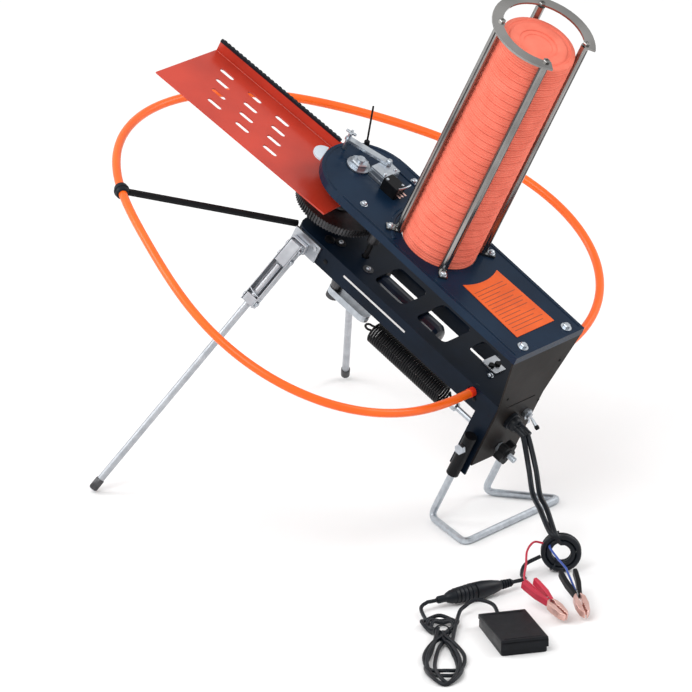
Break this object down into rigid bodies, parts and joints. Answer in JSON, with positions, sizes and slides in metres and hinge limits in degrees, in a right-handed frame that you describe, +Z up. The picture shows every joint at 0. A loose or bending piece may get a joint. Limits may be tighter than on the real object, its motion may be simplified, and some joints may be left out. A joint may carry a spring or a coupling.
{
  "type": "clay target thrower",
  "caption": "Automatic clay target thrower with a tilted deck, upright magazine, throw arm, safety hoop, folding front legs, rear foot bar and foot pedal.",
  "frame": {"origin": "centre of the machine, without its cords, at the ground", "axes": "+X from the throwing end to the rear end plate, +Y across to the far side, +Z up"},
  "size_m": [0.9507, 0.8726, 0.758],
  "materials": {
    "blue_black_paint": "gloss",
    "brown_black_paint": "satin",
    "red_arm_paint": "satin",
    "orange_plastic": "gloss",
    "clay": "matte",
    "chrome": "polished",
    "zinc": "satin",
    "dark_steel": "satin",
    "black_plastic": "satin",
    "rubber": "matte",
    "white_nylon": "satin",
    "red_plastic": "satin"
  },
  "bodies": {
    "machine": {"deck_plate": "blue_black_paint", "chassis_channel": "blue_black_paint", "rear_end_plate": "brown_black_paint", "deck_label": "orange_plastic", "safety_hoop": "orange_plastic", "magazine_rod_1": "chrome", "magazine_rod_2": "chrome", "magazine_rod_3": "chrome", "magazine_rod_4": "chrome", "magazine_top_ring": "chrome", "tension_eyebolt": "zinc", "leg_bracket_near": "zinc", "leg_bracket_far": "zinc", "release_block": "zinc", "toggle_switch": "zinc", "bearing_housing": "dark_steel", "main_spring": "dark_steel", "gearbox": "black_plastic", "drive_motor": "black_plastic", "hoop_support_arm": "black_plastic", "foot_socket_near": "black_plastic", "foot_socket_far": "black_plastic", "micro_switch": "black_plastic", "whisker_rod": "black_plastic", "cable_gland": "black_plastic", "pedal_base": "black_plastic", "cord_coil": "black_plastic", "power_cord": "black_plastic", "switch_cord": "black_plastic", "inline_connector": "black_plastic", "connector_cord": "black_plastic", "hank_cord": "black_plastic", "cord_hank": "black_plastic", "pedal_cord": "black_plastic", "black_clip": "black_plastic", "black_lead": "black_plastic", "hoop_grommet": "rubber", "front_guide": "white_nylon", "red_clip": "red_plastic", "red_lead": "red_plastic"},
    "clays": {"clay_stack": "clay"},
    "thrower": {"main_shaft": "dark_steel", "throw_arm": "red_arm_paint", "arm_rail_rubber": "rubber", "drive_gear": "dark_steel", "crank_arm": "dark_steel"},
    "pinion": {"drive_pinion": "dark_steel"},
    "link": {"spring_link": "zinc"},
    "gate": {"drop_gate": "zinc"},
    "release": {"release_lever": "zinc"},
    "near_leg": {"leg_sleeve_near": "zinc", "leg_rod_near": "zinc"},
    "far_leg": {"leg_sleeve_far": "zinc", "leg_rod_far": "zinc"},
    "foot": {"foot_bar": "zinc"},
    "near_clamp": {"clamp_bolt_near": "zinc"},
    "far_clamp": {"clamp_bolt_far": "zinc"},
    "tension": {"tension_knob": "black_plastic"},
    "toggle": {"toggle_lever": "zinc"},
    "pedal": {"pedal_plate": "black_plastic"}
  },
  "joints": [
    {"name": "clays_lift_out", "type": "slide", "parent": "machine", "child": "clays", "axis": [0.4617, 0, 0.887], "range_m": [0, 0.385]},
    {"name": "arm_spin", "type": "hinge", "parent": "machine", "child": "thrower", "pos_m": [-0.11939, 0.0125, 0.45354], "axis": [0.4617, 0, 0.887], "continuous": true},
    {"name": "pinion_spin", "type": "hinge", "parent": "machine", "child": "pinion", "pos_m": [-0.05552, 0.0095, 0.42029], "axis": [0.4617, 0, 0.887], "continuous": true},
    {"name": "link_swing", "type": "hinge", "parent": "thrower", "child": "link", "pos_m": [-0.15938, 0.0125, 0.2641], "axis": [0.4617, 0, 0.887], "continuous": true},
    {"name": "gate_slide", "type": "slide", "parent": "machine", "child": "gate", "axis": [0.887, 0, -0.4617], "range_m": [0, 0.018], "stiffness_N_per_m": 60, "springref_m": -0.05},
    {"name": "release_swing", "type": "hinge", "parent": "machine", "child": "release", "pos_m": [-0.08802, 0.0395, 0.4575], "axis": [0.4617, 0, 0.887], "range_deg": [0, 21]},
    {"name": "near_leg_fold", "type": "hinge", "parent": "machine", "child": "near_leg", "pos_m": [-0.17849, -0.0525, 0.34], "axis": [0.2197, -0.8795, 0.4221], "range_deg": [0, 80]},
    {"name": "far_leg_fold", "type": "hinge", "parent": "machine", "child": "far_leg", "pos_m": [-0.17849, 0.0775, 0.34], "axis": [-0.2197, -0.8795, -0.4221], "range_deg": [0, 80]},
    {"name": "foot_slide", "type": "slide", "parent": "machine", "child": "foot", "axis": [-0.4617, 0, -0.887], "range_m": [0, 0.012]},
    {"name": "near_clamp_turn", "type": "hinge", "parent": "machine", "child": "near_clamp", "pos_m": [0.11538, -0.0543, 0.12163], "axis": [0, -1, 0], "range_deg": [0, 360]},
    {"name": "far_clamp_turn", "type": "hinge", "parent": "machine", "child": "far_clamp", "pos_m": [0.11538, 0.0793, 0.12163], "axis": [0, 1, 0], "range_deg": [0, 360]},
    {"name": "tension_turn", "type": "hinge", "parent": "machine", "child": "tension", "pos_m": [0.13209, 0.0125, 0.10392], "axis": [0.887, 0, -0.4617], "range_deg": [-360, 360]},
    {"name": "toggle_flip", "type": "hinge", "parent": "machine", "child": "toggle", "pos_m": [0.16154, 0.0385, 0.14946], "axis": [0, 1, 0], "range_deg": [-44, 0]},
    {"name": "pedal_press", "type": "hinge", "parent": "machine", "child": "pedal", "pos_m": [0.3663, -0.27817, 0.0115], "axis": [-0.5736, -0.8192, 0], "range_deg": [-2.1, 0], "stiffness_Nm_per_rad": 2, "springref_deg": 2.86}
  ],
  "couplings": [
    {"joint": "pinion_spin", "follows": "arm_spin", "ratio": -7},
    {"joint": "link_swing", "follows": "arm_spin", "ratio": -1},
    {"joint": "release_swing", "follows": "gate_slide", "rad_per_m": 19.39}
  ]
}
